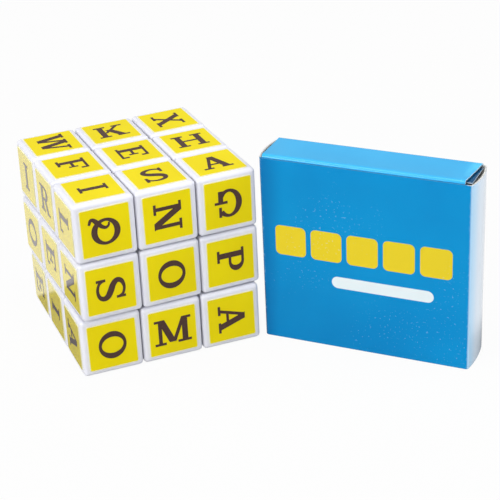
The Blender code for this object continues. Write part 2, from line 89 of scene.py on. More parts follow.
class Flow:
    def __init__(self, tree, socket=None):
        self.tree = tree
        self.socket = socket

    def node(self, kind, settings=None, values=None, out=0):
        made = self.tree.nodes.new(kind)
        for key, value in (settings or {}).items():
            setattr(made, key, value)
        for key, value in (values or {}).items():
            if isinstance(value, Flow):
                self.tree.links.new(value.socket, made.inputs[key])
            else:
                made.inputs[key].default_value = value
        return Flow(self.tree, made.outputs[out])

    def maths(self, operation, *values):
        return self.node("ShaderNodeMath", {"operation": operation}, dict(enumerate(values)))

    def __add__(self, other):
        return self.maths("ADD", self, other)

    def __radd__(self, other):
        return self.maths("ADD", other, self)

    def __sub__(self, other):
        return self.maths("SUBTRACT", self, other)

    def __rsub__(self, other):
        return self.maths("SUBTRACT", other, self)

    def __mul__(self, other):
        return self.maths("MULTIPLY", self, other)

    def __rmul__(self, other):
        return self.maths("MULTIPLY", other, self)

    def __truediv__(self, other):
        return self.maths("DIVIDE", self, other)

    def __rtruediv__(self, other):
        return self.maths("DIVIDE", other, self)

    def __abs__(self):
        return self.maths("ABSOLUTE", self)

    def least(self, other):
        return self.maths("MINIMUM", self, other)

    def most(self, other):
        return self.maths("MAXIMUM", self, other)

    def rise(self, low, high):                # 0 below low, 1 above high, smooth between them
        return self.node("ShaderNodeMapRange", {"interpolation_type": "SMOOTHSTEP"},
                         {"Value": self, "From Min": low, "From Max": high})

    def fall(self, low, high):                # 1 below low, 0 above high
        return 1 - self.rise(low, high)

    def between(self, first, second):         # colours, mixed by this value
        return self.node("ShaderNodeMix", {"data_type": "RGBA"}, {0: self, 6: first, 7: second}, out=2)

    def noise(self, scale, detail=2.0, roughness=0.5, stretch=None):
        vector = self
        if stretch:
            vector = self.node("ShaderNodeMapping", None, {"Vector": self, "Scale": stretch})
        return self.node("ShaderNodeTexNoise", None,
                         {"Vector": vector, "Scale": scale, "Detail": detail, "Roughness": roughness})

    def bump(self, strength, distance, under=None):
        values = {"Height": self, "Strength": strength, "Distance": distance * mm}
        if under:
            values["Normal"] = under
        return self.node("ShaderNodeBump", None, values)

    def slant(self, low, high):               # 0 seen squarely, 1 seen at a grazing angle; for the gloss alone
        return self.node("ShaderNodeLayerWeight", None, {"Blend": 0.5}, out=1).rise(low, high)

    def parts(self):                          # a vector's three values
        split = self.node("ShaderNodeSeparateXYZ", None, {0: self}).socket.node
        return [Flow(self.tree, out) for out in split.outputs]


def rgb(red, green, blue):
    return (red, green, blue, 1.0)


def startLook(name):
    look = bpy.data.materials.new(name)
    look.use_nodes = True
    tree = look.node_tree
    where = Flow(tree).node("ShaderNodeTexCoord", out=3)         # Object coordinates
    return look, where


def dressLook(look, **values):                # the values or links of the surface's own sockets
    surface = look.node_tree.nodes["Principled BSDF"]
    for key, value in values.items():
        socket = surface.inputs[key.replace("_", " ")]
        if isinstance(value, Flow):
            look.node_tree.links.new(value.socket, socket)
        else:
            socket.default_value = value
    return look


# the looks of the cube's pieces

plastic = {
    "light": rgb(0.775, 0.778, 0.845), "shade": rgb(0.722, 0.727, 0.802),
    "gloss": 0.27, "haze": 0.10,
}


def plasticLook():
    look, where = startLook("satinWhitePlastic")
    cloud = where.noise(70, 2)
    speck = where.noise(900, 1).rise(0.70, 0.80) * 0.35          # rare dust-fine flecks in the moulding
    tint = (cloud.rise(0.30, 0.70) * 0.8 + speck).least(1).between(plastic["light"], plastic["shade"])
    scuff = where.noise(150, 4, 0.7, (1.0, 0.12, 1.0))
    rough = plastic["gloss"] + plastic["haze"] * scuff
    grain = where.noise(2600, 2).bump(0.10, 0.02)
    flow = where.noise(180, 1).bump(0.10, 0.06, grain)
    return dressLook(look, Base_Color=tint, Roughness=rough, Normal=flow, IOR=1.42)


film = {
    "yellow": rgb(0.830, 0.690, 0.001), "deep": rgb(0.780, 0.635, 0.001),
    "pale": rgb(0.840, 0.830, 0.560), "paleDeep": rgb(0.80, 0.74, 0.34),
    "ink": rgb(0.074, 0.040, 0.033), "inkWorn": rgb(0.100, 0.060, 0.048),
    "gloss": 0.10, "bending": 1.33,
}


def filmLook():
    look, where = startLook("glossyYellowFilm")
    cloud = where.noise(60, 2)
    screen = where.noise(3200, 1)                                # the print's fine dots
    tint = (cloud.rise(0.32, 0.68) * 0.75 + screen * 0.25).between(film["yellow"], film["deep"])
    rough = film["gloss"] + 0.08 * where.noise(240, 3)
    peel = where.noise(420, 2).bump(0.14, 0.05)
    lift = where.noise(90, 1).bump(0.10, 0.10, peel)
    return dressLook(look, Base_Color=tint, Roughness=rough, Normal=lift, IOR=film["bending"],
                     Coat_Weight=0.8 * where.slant(0.60, 0.78), Coat_Roughness=0.08)


def paleEdgeLook():
    look, where = startLook("paleFilmEdge")
    tint = where.noise(500, 2).between(film["pale"], film["paleDeep"])
    return dressLook(look, Base_Color=tint, Roughness=0.3 + 0.1 * where.noise(300))


def inkLook():
    look, where = startLook("darkLetterInk")
    worn = where.noise(1400, 3, 0.6).rise(0.52, 0.80)
    tint = worn.between(film["ink"], film["inkWorn"])
    rough = film["gloss"] + 0.04 + 0.10 * where.noise(300, 2)
    peel = where.noise(420, 2).bump(0.14, 0.05)
    return dressLook(look, Base_Color=tint, Roughness=rough, Normal=peel, IOR=film["bending"],
                     Coat_Weight=0.8 * where.slant(0.60, 0.78), Coat_Roughness=0.08)


def darkPlasticLook():
    look, where = startLook("darkCorePlastic")
    tint = where.noise(220, 3).between(rgb(0.020, 0.020, 0.023), rgb(0.045, 0.045, 0.050))
    rough = 0.36 + 0.20 * where.noise(500, 2)
    return dressLook(look, Base_Color=tint, Roughness=rough, Normal=where.noise(2200, 2).bump(0.2, 0.03))


def steelLook():
    look, where = startLook("brightSteel")
    tint = where.noise(300, 2).between(rgb(0.62, 0.62, 0.64), rgb(0.50, 0.49, 0.50))
    rough = 0.20 + 0.16 * where.noise(700, 3, 0.6)
    turned = where.noise(1600, 1, 0.5, (0.2, 0.2, 4.0)).bump(0.12, 0.02)
    return dressLook(look, Base_Color=tint, Roughness=rough, Normal=turned, Metallic=1.0)


# mesh helpers

def keptMesh(bm, name, looks=()):             # a bmesh as a mesh, its faces left as they are turned
    mesh = bpy.data.meshes.new(name)
    bm.to_mesh(mesh)
    bm.free()
    for look in looks:
        mesh.materials.append(look)
    return mesh


def meshFrom(bm, name, looks=()):             # the same, with its faces turned outwards first
    bmesh.ops.recalc_face_normals(bm, faces=bm.faces[:])
    return keptMesh(bm, name, looks)


def move(bm, way):
    bmesh.ops.translate(bm, vec=way, verts=bm.verts[:])


def resize(bm, size):
    bmesh.ops.scale(bm, vec=size, verts=bm.verts[:])


def rectangle(width, height, middle=(0, 0, 0)):
    bm = bmesh.new()
    bmesh.ops.create_grid(bm, x_segments=1, y_segments=1, size=0.5)
    resize(bm, (width, height, 1))
    move(bm, middle)
    return bm


def rounded(bm, geom, offset, segments, affect="VERTICES"):
    bmesh.ops.bevel(bm, geom=geom, offset=offset, segments=segments, profile=0.5, affect=affect, material=-1)


def vertsOf(made):                            # the new points of an extrusion
    return [item for item in made["geom"] if isinstance(item, bmesh.types.BMVert)]


def drawUp(bm, height):                       # flat faces become a plate of this height
    raised = bmesh.ops.extrude_face_region(bm, geom=bm.faces[:])
    bmesh.ops.translate(bm, vec=(0, 0, height), verts=vertsOf(raised))


def bridge(bm, rungs):                        # a strip over a row of edges
    for rung, following in zip(rungs, rungs[1:]):
        bmesh.ops.bridge_loops(bm, edges=[rung, following])


def block(low, high, looks=(), rounding=0.0, segments=4):
    bm = bmesh.new()
    bmesh.ops.create_cube(bm, size=1.0)
    low, high = Vector(low), Vector(high)
    resize(bm, high - low)
    move(bm, (low + high) / 2)
    if rounding:
        rounded(bm, bm.edges[:], rounding, segments, "EDGES")
    return meshFrom(bm, "block", looks)


def ball(radius, looks=(), segments=48):
    bm = bmesh.new()
    bmesh.ops.create_uvsphere(bm, u_segments=segments, v_segments=segments // 2, radius=radius)
    return meshFrom(bm, "ball", looks)


def post(radius, low, high, looks=(), segments=40):
    bm = bmesh.new()
    bmesh.ops.create_cone(bm, cap_ends=True, segments=segments, radius1=radius, radius2=radius, depth=high - low)
    move(bm, (0, 0, (low + high) / 2))
    return meshFrom(bm, "post", looks)


def carved(name, base, steps):                # Boolean steps on a mesh, each an operation and a tool
    worked = setDown(name, base)
    tools = [setDown(mesh.name, mesh) for _, mesh in steps]
    for (operation, _), tool in zip(steps, tools):
        step = worked.modifiers.new(operation, "BOOLEAN")
        step.operation = operation
        step.solver = "EXACT"
        step.use_self = True
        step.object = tool
    bpy.context.view_layer.update()
    result = bpy.data.meshes.new_from_object(worked.evaluated_get(bpy.context.evaluated_depsgraph_get()))
    result.name = name
    for item in [worked, *tools]:
        bpy.data.objects.remove(item)
    return result


def joined(name, placed, looks):              # meshes at their places, as one mesh
    bm = bmesh.new()
    for mesh, place in placed:
        before = len(bm.verts)
        bm.from_mesh(mesh)
        bm.verts.ensure_lookup_table()
        bmesh.ops.transform(bm, matrix=place, verts=bm.verts[before:])
    return keptMesh(bm, name, looks)


def showPiece(name, mesh, body, nodes=(), place=None, sharp=32):
    if place:
        mesh.transform(place)
    mesh.transform(Matrix.Scale(mm, 4))
    mesh.shade_smooth()
    mesh.set_sharp_from_angle(angle=math.radians(sharp))
    piece = setDown(name, mesh)
    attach(piece, body)
    if nodes:
        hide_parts(*nodes)
    return piece


def evenShading(piece):                       # broad faces shade flat, and only the roundings turn
    even = piece.modifiers.new("evenShading", "WEIGHTED_NORMAL")
    even.keep_sharp = True
    even.weight = 100


# the letters: slab-serif strokes, laid as thin plates of ink

dieLooks = ("plastic", "film", "ink", "filmEdge")               # the order of a die's looks

letters = {
    "half": 4.05,                             # half of the cap height
    "slab": 0.78,
    "size": 1.065,                            # grows the finished letter
    "ink": 0.035,
}

top, foot = letters["half"], -letters["half"]
under, over = top - letters["slab"], foot + letters["slab"]
spans = {                                     # strokes that run between a letter's own lines
    "stem": ("bar", foot, top), "foot": ("bar", foot, over), "head": ("bar", under, top),
    "leg": ("slant", top, foot),
}

glyphs = {
    "A": [("leg", -0.15, -2.85, 1.0), ("leg", 0.05, 2.75, 1.95), ("bar", -2.2, 2.2, -1.6, -0.8),
          ("foot", -4.25, -1.35), ("foot", 1.1, 4.4)],
    "E": [("stem", -2.95, -1.25), ("foot", -3.85, 3.35), ("head", -3.85, 3.15), ("bar", -1.3, 1.5, -0.42, 0.42),
          ("bar", 0.95, 1.7, -1.35, 1.35), ("bar", 2.55, 3.4, foot, -1.8), ("bar", 2.35, 3.2, 1.95, top)],
    "F": [("stem", -2.8, -1.1), ("foot", -3.75, 0.0), ("head", -3.75, 3.3), ("bar", -1.2, 1.6, -0.45, 0.4),
          ("bar", 1.05, 1.8, -1.35, 1.3), ("bar", 2.5, 3.35, 1.85, top)],
    "G": [("ring", -0.25, 0, 3.85, 4.25, 2.05, 3.35, 36, 288), ("bar", 2.0, 2.85, 0.95, 4.0),
          ("bar", 1.5, 2.95, -3.9, -0.2), ("bar", 0.2, 4.05, -0.75, 0.05)],
    "H": [("stem", -3.75, -2.05), ("stem", 2.05, 3.75), ("bar", -2.1, 2.1, -0.42, 0.42), ("foot", -4.65, -1.15),
          ("head", -4.65, -1.15), ("foot", 1.15, 4.65), ("head", 1.15, 4.65)],
    "I": [("stem", -0.85, 0.85), ("foot", -1.85, 1.85), ("head", -1.85, 1.85)],
    "K": [("stem", -3.5, -1.8), ("foot", -4.4, -0.9), ("head", -4.4, -0.9),
          ("slant", 2.7, -1.75, 1.2, 3.7, -1.0), ("slant", -0.45, 2.8, 2.15, 1.3, foot), ("head", 1.0, 4.2),
          ("foot", 1.1, 4.65)],
    "L": [("stem", -2.6, -0.9), ("head", -3.5, 0.1), ("foot", -3.5, 3.4), ("bar", 2.6, 3.45, foot, -1.7)],
    "M": [("stem", -4.3, -3.2), ("stem", 2.75, 4.45), ("slant", -3.35, -0.15, 2.0, top, -3.45),
          ("slant", 3.3, 0.25, 1.15, top, -3.45), ("foot", -5.45, -2.1), ("foot", 1.45, 5.5),
          ("head", -5.45, -3.2), ("head", 3.2, 5.45)],
    "N": [("stem", -3.25, -2.15), ("stem", 2.15, 3.25), ("leg", -2.55, 2.45, 2.15), ("foot", -4.25, -1.15),
          ("head", -4.25, -2.3), ("head", 1.15, 4.25)],
    "O": [("ring", 0, 0, 4.3, 4.05, 2.55, 3.15, 0, 360)],
    "P": [("stem", -2.75, -1.05), ("foot", -3.65, 0.1), ("head", -3.65, 0.5), ("bar", -1.1, 0.5, -0.6, 0.2),
          ("ring", 0.4, 1.73, 2.95, 2.33, 1.25, 1.53, -91, 182)],
    "Q": [("ring", 0, 0.15, 4.15, 3.95, 2.4, 3.05, 0, 360),
          ("ribbon", (-1.05, -2.45, 0.5), (-0.9, -1.5, 0.7), (0.0, -1.0, 0.9), (1.15, -1.6, 1.15),
           (2.3, -2.85, 1.4), (3.2, -3.8, 1.15), (4.05, -3.85, 0.95), (4.6, -2.55, 0.7))],
    "R": [("stem", -2.95, -1.25), ("foot", -3.85, -0.2), ("head", -3.85, 0.4), ("bar", -1.3, 0.4, -0.35, 0.45),
          ("ring", 0.3, 1.85, 2.75, 2.2, 1.05, 1.4, -91, 182), ("slant", 0.35, 2.75, 1.9, 0.2, foot),
          ("foot", 2.0, 4.4)],
    "S": [("ribbon", (2.7, 2.2, 0.8), (2.05, 3.35, 0.8), (0.15, 3.85, 0.85), (-1.85, 3.2, 1.3),
           (-2.4, 1.9, 1.6), (-1.35, 0.75, 1.75), (0.55, -0.1, 1.85), (2.15, -1.05, 1.75),
           (2.55, -2.3, 1.5), (1.8, -3.4, 1.1), (-0.1, -3.85, 0.85), (-2.1, -3.3, 0.8), (-2.9, -2.0, 0.8)),
          ("bar", 2.35, 3.15, 1.5, 4.15), ("bar", -3.35, -2.5, -4.15, -1.4)],
    "T": [("stem", -0.85, 0.85), ("foot", -2.0, 2.0), ("head", -3.9, 3.9), ("bar", -3.95, -3.15, 1.75, top),
          ("bar", 3.15, 3.95, 1.75, top)],
    "W": [("leg", -4.3, -2.35, 1.85), ("leg", -0.35, -2.05, 0.95), ("leg", 0.15, 2.3, 1.85),
          ("leg", 4.4, 2.6, 0.95), ("head", -5.75, -2.75), ("head", -1.5, 1.6), ("head", 2.95, 5.75)],
    "X": [("leg", -2.65, 2.65, 2.1), ("leg", 2.6, -2.6, 1.15), ("head", -4.3, -1.1), ("head", 1.1, 4.15),
          ("foot", -4.15, -1.1), ("foot", 1.1, 4.4)],
}


def smoothLine(points, steps=4):              # a smooth run through (x, y, width) points
    padded = [Vector(point) for point in (points[0], *points, points[-1])]
    run = []
    for a, b, c, d in zip(padded, padded[1:], padded[2:], padded[3:]):
        for step in range(steps):
            t = step / steps
            run.append(0.5 * (2 * b + (c - a) * t + (2 * a - 5 * b + 4 * c - d) * t ** 2
                              + (3 * b - a - 3 * c + d) * t ** 3))
    return run + [padded[-1]]


def stroke(kind, *shape):                     # one stroke of a letter, one millimetre high
    if kind in spans:
        kind, *ends = spans[kind]
        shape = (*shape, *ends)
    bm = bmesh.new()
    if kind in ("bar", "slant"):
        if kind == "bar":
            left, right, low, high = shape
            lean = 0
        else:
            atTop, atFoot, width, high, low = shape
            left, right, lean = (atTop + atFoot - width) / 2, (atTop + atFoot + width) / 2, atTop - atFoot
        bmesh.ops.create_grid(bm, x_segments=1, y_segments=1, size=0.5)
        skew = Matrix.Identity(4)
        skew[0][1] = lean / (right - left)
        bmesh.ops.transform(bm, matrix=skew, verts=bm.verts[:])
        resize(bm, (right - left, high - low, 1))
        move(bm, ((left + right) / 2, (low + high) / 2, 0))
    elif kind == "ring":
        x, y, wide, tall, innerWide, innerTall, start, sweep = shape
        ends = [bm.verts.new((1, 0, 0)), bm.verts.new((2, 0, 0))]
        across = bm.edges.new(ends)
        bmesh.ops.rotate(bm, cent=(0, 0, 0), matrix=Matrix.Rotation(math.radians(start), 3, "Z"), verts=ends)
        bmesh.ops.spin(bm, geom=[*ends, across], cent=(0, 0, 0), axis=(0, 0, 1), angle=math.radians(sweep),
                       steps=max(8, round(sweep / 9)), use_merge=sweep == 360)
        near = [vert for vert in bm.verts if vert.co.length < 1.5]       # the two rims are drawn at 1 and 2
        far = [vert for vert in bm.verts if vert.co.length >= 1.5]
        bmesh.ops.scale(bm, vec=(innerWide, innerTall, 1), verts=near)
        bmesh.ops.scale(bm, vec=(wide / 2, tall / 2, 1), verts=far)
        move(bm, (x, y, 0))
    else:
        run = smoothLine(shape)
        rungs = []
        for index, point in enumerate(run):
            ahead = run[min(index + 1, len(run) - 1)] - run[max(index - 1, 0)]
            side = Vector((-ahead.y, ahead.x, 0)).normalized() * point.z / 2
            middle = Vector((point.x, point.y, 0))
            rungs.append(bm.edges.new([bm.verts.new(middle + side), bm.verts.new(middle - side)]))
        bridge(bm, rungs)
    drawUp(bm, 1)
    return meshFrom(bm, kind)


def letterMesh(name):
    strokes = [stroke(*shape) for shape in glyphs[name]]
    mesh = carved("letter" + name, strokes[0], [("UNION", tool) for tool in strokes[1:]])
    bm = bmesh.new()
    bm.from_mesh(mesh)
    resize(bm, (letters["size"], letters["size"], letters["ink"]))
    for face in bm.faces:
        face.material_index = dieLooks.index("ink")
    bm.to_mesh(mesh)
    bm.free()
    return mesh


# the dice of the cube

cube = {
    "side": 57.0, "gap": 0.3, "round": 1.2, "skin": 28.25,
    "track": 20.01, "trackGap": 0.2, "hollow": 11.2, "foot": 6.15, "neck": 5.85,
    "neckStart": 10.3, "floor": 12.5, "pocket": 3.8, "hole": 1.45, "holeFoot": 9, "seam": 24.95,
    "cap": 25.25, "spigotPlay": 0.3, "spigotFoot": 2, "spigotTop": 1.5,
    "past": 2,                                # how far a cut runs on past the piece
    "downTurn": -2.0,                         # the lowest layer stands a little off square, in degrees
    "sway": 0.13, "shift": 0.035,             # how far a die sits out of true, degrees and mm
}
sticker = {
    "side": 15.1, "corner": 0.55, "cornerSteps": 5, "edge": 0.17, "under": 0.10, "top": 0.215,
    "sway": 0.55, "shift": 0.10,
}
cubePlace = Matrix.Translation((0, 0, cube["side"] / 2))
pitch = cube["side"] / 3
inner = pitch / 2 + cube["gap"] / 2
outer = pitch / 2 - cube["gap"] / 2

faces = {                                     # right and up on each face, its letters and their quarter turns
    "front": {"right": (1, 0, 0), "up": (0, 0, 1), "rows": ("QNG", "SOP", "OMA"), "turns": ("212", "111", "101")},
    "up": {"right": (1, 0, 0), "up": (0, 1, 0), "rows": ("WKX", "FEH", "ISA"), "turns": ("101", "110", "100")},
    "left": {"right": (0, -1, 0), "up": (0, 0, 1), "rows": ("IRL", "OEN", "EIA"), "turns": ("001", "111", "111")},
    "right": {"right": (0, 1, 0), "up": (0, 0, 1), "rows": ("TEG", "AIN", "ROL"), "turns": ("013", "202", "130")},
    "back": {"right": (-1, 0, 0), "up": (0, 0, 1), "rows": ("LXK", "MEO", "STF"), "turns": ("121", "033", "210")},
    "down": {"right": (1, 0, 0), "up": (0, -1, 0), "rows": ("NTR", "EPO", "GHI"), "turns": ("301", "121", "032")},
}


def stickerMesh(looks):
    bm = rectangle(sticker["side"], sticker["side"], (0, 0, -sticker["under"]))
    rounded(bm, bm.verts[:], sticker["corner"], sticker["cornerSteps"])
    drawUp(bm, sticker["under"] + sticker["top"])
    bmesh.ops.recalc_face_normals(bm, faces=bm.faces[:])
    for face in bm.faces:
        face.material_index = dieLooks.index("filmEdge")
    upper = max(bm.faces, key=lambda face: face.calc_center_median().z)
    bmesh.ops.inset_region(bm, faces=[upper], thickness=sticker["edge"])
    upper.material_index = dieLooks.index("film")
    return meshFrom(bm, "sticker", looks)


def shellMeshes(looks):
    skin, track = cube["skin"], cube["track"]
    neck, start = cube["neck"], cube["foot"]
    footBall, cutBall = track - cube["trackGap"], track + cube["trackGap"]
    hollow = ("DIFFERENCE", ball(cube["hollow"], looks))

    def roundedFoot(low):
        return carved("foot", block(low, (neck if low[0] < 0 else track, track, track), looks),
                      [("INTERSECT", ball(footBall, looks, 64))])

    corner = carved("cornerDie", block((inner,) * 3, (skin,) * 3, looks, cube["round"]),
                    [("UNION", roundedFoot((start,) * 3)), hollow])
    edge = carved("edgeDie", block((-outer, inner, inner), (outer, skin, skin), looks, cube["round"]),
                  [("DIFFERENCE", ball(cutBall, looks, 64)),
                   ("UNION", block((-neck, inner, inner), (neck, track, track), looks)),
                   ("UNION", roundedFoot((-neck, start, start))), hollow])
    lower = ("DIFFERENCE", block((-pitch, -pitch, cube["seam"]), (pitch, pitch, skin + cube["past"]), looks))
    centre = carved("centreDie", block((-outer, -outer, inner), (outer, outer, skin), looks, cube["round"]),
                    [lower, ("DIFFERENCE", ball(cutBall, looks, 64)),
                     ("UNION", block((-neck, -neck, cube["neckStart"]), (neck, neck, track), looks)),
                     ("DIFFERENCE", post(cube["pocket"], cube["floor"], skin, looks)),
                     ("DIFFERENCE", post(cube["hole"], cube["holeFoot"], cube["floor"] + cube["past"],
                                         looks, 24))])
    upper = ("DIFFERENCE", block((-pitch, -pitch, 0), (pitch, pitch, cube["cap"]), looks))
    spigot = post(cube["pocket"] - cube["spigotPlay"], cube["cap"] - cube["spigotFoot"],
                  cube["cap"] + cube["spigotTop"], looks)
    cap = carved("capDie", block((-outer, -outer, pitch / 2), (outer, outer, skin), looks, cube["round"]),
                 [upper, ("UNION", spigot)])
    return {"corner": (corner, (1, 1, 1)), "edge": (edge, (0, 1, 1)),
            "centre": (centre, (0, 0, 1)), "cap": (cap, (0, 0, 1))}


def seatTurn(master, cell):                   # the quarter turns that carry a master's place to a cell
    for steps in itertools.product(range(4), repeat=3):
        turn = Euler([step * math.pi / 2 for step in steps]).to_matrix()
        if (turn @ Vector(master) - Vector(cell)).length < 0.01:
            return turn.to_4x4()


def slightTurn(rng, degrees, about, shift):
    turn = Euler([math.radians(rng.uniform(-degrees, degrees)) for _ in range(3)]).to_matrix().to_4x4()
    away = Vector([rng.uniform(-shift, shift) for _ in range(3)])
    return Matrix.Translation(about + away) @ turn @ Matrix.Translation(-about)


def stickersOn(cell, rng, plate, inks):       # the stickers and letters of one die, in the cube's frame
    placed = []
    for face in faces.values():
        right, up = Vector(face["right"]), Vector(face["up"])
        out = right.cross(up)
        if round(out.dot(cell)) != 1:
            continue
        column, row = round(right.dot(cell)), round(up.dot(cell))
        seat = Matrix((right, up, out)).transposed().to_4x4()
        seat.translation = right * column * pitch + up * row * pitch + out * cube["skin"]
        nudge = Matrix.Translation([rng.uniform(-1, 1) * sticker["shift"] for _ in range(2)] + [0])
        nudge @= Matrix.Rotation(math.radians(rng.uniform(-1, 1) * sticker["sway"]), 4, "Z")
        letter = face["rows"][1 - row][column + 1]
        turn = Matrix.Rotation(-math.pi / 2 * int(face["turns"][1 - row][column + 1]), 4, "Z")
        placed.append((plate, seat @ nudge))
        placed.append((inks[letter], seat @ nudge @ Matrix.Translation((0, 0, sticker["top"])) @ turn))
    return placed


def makeCube(looks):
    shells = shellMeshes(looks)
    plate = stickerMesh(looks)
    inks = {name: letterMesh(name) for name in glyphs}
    print("letters cut:", len(inks))
    count = 0
    for cell in itertools.product((-1, 0, 1), repeat=3):
        kind = {3: "corner", 2: "edge", 1: "centre"}.get(sum(map(abs, cell)))
        if not kind:
            continue
        x, y, z = cell
        words = [{1: "up", -1: "down", 0: "middle" if kind == "edge" else ""}[z],
                 {1: "back", -1: "front", 0: ""}[y], {1: "right", -1: "left", 0: ""}[x]]
        where = "_" + "_".join(word for word in words if word)
        body = {1: "up_layer", -1: "down_layer", 0: "core_and_middle"}[z]
        rng = random.Random("die" + where)
        layer = Matrix.Rotation(math.radians(cube["downTurn"] if z < 0 else 0), 4, "Z")
        place = cubePlace @ layer @ slightTurn(rng, cube["sway"], Vector(cell) * pitch, cube["shift"])
        labels = stickersOn(Vector(cell), rng, plate, inks)
        for part in ([kind] if kind != "centre" else ["centre", "cap"]):
            shell, master = shells[part]
            pieces = [(shell, seatTurn(master, cell))] + (labels if part != "centre" else [])
            mesh = joined("die_" + part + where, pieces, looks)
            piece = showPiece("die_" + part + where, mesh, body, [part + where], place)
            evenShading(piece)
            count += 1
    print("dice and caps:", count)


# the stack inside each centre die, and the core that holds the six of them

stack = {
    "steps": 32,                              # round each turned piece
    "head": (19.3, 21.1), "headRadius": 3.0, "rim": 0.12, "neck": 0.15, "shank": 1.15, "tip": 5.3, "point": 1.0,
    "crown": [(0, 0), (1.4, 0.03), (2.2, 0.16), (2.7, 0.42), (3.0, 0.9)],       # out, and down from the top
    "thread": [(0.10, 0.12), (0, 0.27), (0.10, 0.42)],                          # in, and down each ring
    "threadTop": 9.6, "threadPitch": 0.55, "slotReach": 1.7, "slotHalf": 0.32, "slotDeep": 1.1,
    "spring": (12.8, 19.0), "coil": 2.4, "wire": 0.32, "wireFacets": 12, "turns": 4,
    "hub": 7.0, "arm": 3.0, "reach": 10.0, "bore": 1.45, "boreFloor": 5.0,
}
sides = {"up": (0, 0, 1), "down": (0, 0, -1), "front": (0, -1, 0),
         "back": (0, 1, 0), "right": (1, 0, 0), "left": (-1, 0, 0)}


def screwMesh(looks):
    low, high = stack["head"]
    edge, shank, rim, neck = (stack[key] for key in ("headRadius", "shank", "rim", "neck"))
    outline = [(x, high - drop) for x, drop in stack["crown"]]
    outline += [(edge, low + rim), (edge - rim, low), (shank + neck, low), (shank, low - neck)]
    taper = stack["tip"] + stack["point"]
    height = stack["threadTop"]
    while height > taper + stack["threadPitch"]:                 # shallow thread rings
        outline += [(shank - inwards, height - down) for inwards, down in stack["thread"]]
        height -= stack["threadPitch"]
    outline += [(shank - neck, taper), (0, stack["tip"])]
    bm = bmesh.new()
    points = [bm.verts.new((x, 0, z)) for x, z in outline]
    lines = [bm.edges.new(pair) for pair in zip(points, points[1:])]
    bmesh.ops.spin(bm, geom=points + lines, cent=(0, 0, 0), axis=(0, 0, 1), angle=2 * math.pi,
                   steps=stack["steps"], use_merge=True)
    bmesh.ops.remove_doubles(bm, verts=bm.verts[:], dist=0.0005)
    turned = meshFrom(bm, "screw", looks)
    reach, half = stack["slotReach"], stack["slotHalf"]
    arms = [block((-x, -y, high - stack["slotDeep"]), (x, y, high + 1), looks)
            for x, y in ((reach, half), (half, reach))]
    return carved("screw", turned, [("DIFFERENCE", arm) for arm in arms])


def springMesh(looks):
    wire, facets, steps = stack["wire"], stack["wireFacets"], stack["turns"] * stack["steps"]
    low, high = stack["spring"][0] + wire, stack["spring"][1] - wire
    bm = bmesh.new()
    bmesh.ops.create_circle(bm, cap_ends=False, radius=wire, segments=facets)
    bmesh.ops.rotate(bm, cent=(0, 0, 0), matrix=Matrix.Rotation(math.pi / 2, 3, "X"), verts=bm.verts[:])
    move(bm, (stack["coil"], 0, low))
    bmesh.ops.spin(bm, geom=bm.verts[:] + bm.edges[:], cent=(0, 0, 0), axis=(0, 0, 1),
                   dvec=(0, 0, (high - low) / steps), angle=2 * math.pi * stack["turns"], steps=steps)
    bmesh.ops.holes_fill(bm, edges=[edge for edge in bm.edges if edge.is_boundary], sides=facets)
    return meshFrom(bm, "spring", looks)


def coreMesh(looks):
    steps = []
    for operation, radius, low, high in (("UNION", stack["arm"], 0, stack["reach"]),
                                         ("DIFFERENCE", stack["bore"], stack["boreFloor"],
                                          stack["reach"] + cube["past"])):
        for way in sides.values():
            tool = post(radius, low, high, looks, stack["steps"])
            tool.transform(seatTurn((0, 0, 1), way))
            steps.append((operation, tool))
    return carved("core", ball(stack["hub"], looks, stack["steps"]), steps)


def makeStack(steel, dark):
    showPiece("six_armed_core", coreMesh([dark]), "core_and_middle", ["core"], cubePlace)
    screw, spring = screwMesh([steel]), springMesh([steel])
    for side, way in sides.items():
        place = cubePlace @ seatTurn((0, 0, 1), way)
        for kind, mesh in (("screw", screw), ("spring", spring)):
            showPiece("steel_" + kind + "_" + side, mesh.copy(), "core_and_middle",
                      [kind + "_" + side], place)
    print("core, screws and springs in place")


# the card carton

carton = {
    "foot": (29.6, -28.2, 0), "turn": -47.0,
    "width": 64.5, "depth": 15.0, "rim": 59.6, "card": 0.6, "fold": 0.8, "bow": 0.7, "rimBow": 0.6, "belly": 0.18,
    "bellyWave": 0.8, "baseFold": 0.3, "baseSteps": 3,
    "foldSteps": 5, "panelCuts": 13, "risingCuts": 11, "longEdge": 10,
}
cartonPlace = Matrix.Translation(carton["foot"]) @ Matrix.Rotation(math.radians(carton["turn"]), 4, "Z")


def cartonStart(name):                        # a look whose pattern is laid out along the carton, in millimetres
    look, where = startLook(name)
    back = cartonPlace.inverted()
    laid = where.node("ShaderNodeMapping", {"vector_type": "POINT"},
                      {"Vector": where, "Location": back.translation * mm, "Rotation": back.to_euler()})
    along, across, high = (part / mm for part in laid.parts())
    return look, laid, along, across, high


def roundedBox(x, y, centre, half, corner):   # distance out from a rounded rectangle's edge, negative inside
    dx = (abs(x - centre[0]) - (half[0] - corner)).most(0)
    dy = (abs(y - centre[1]) - (half[1] - corner)).most(0)
    squared = dx * dx + dy * dy
    return squared.maths("SQRT", squared) - corner


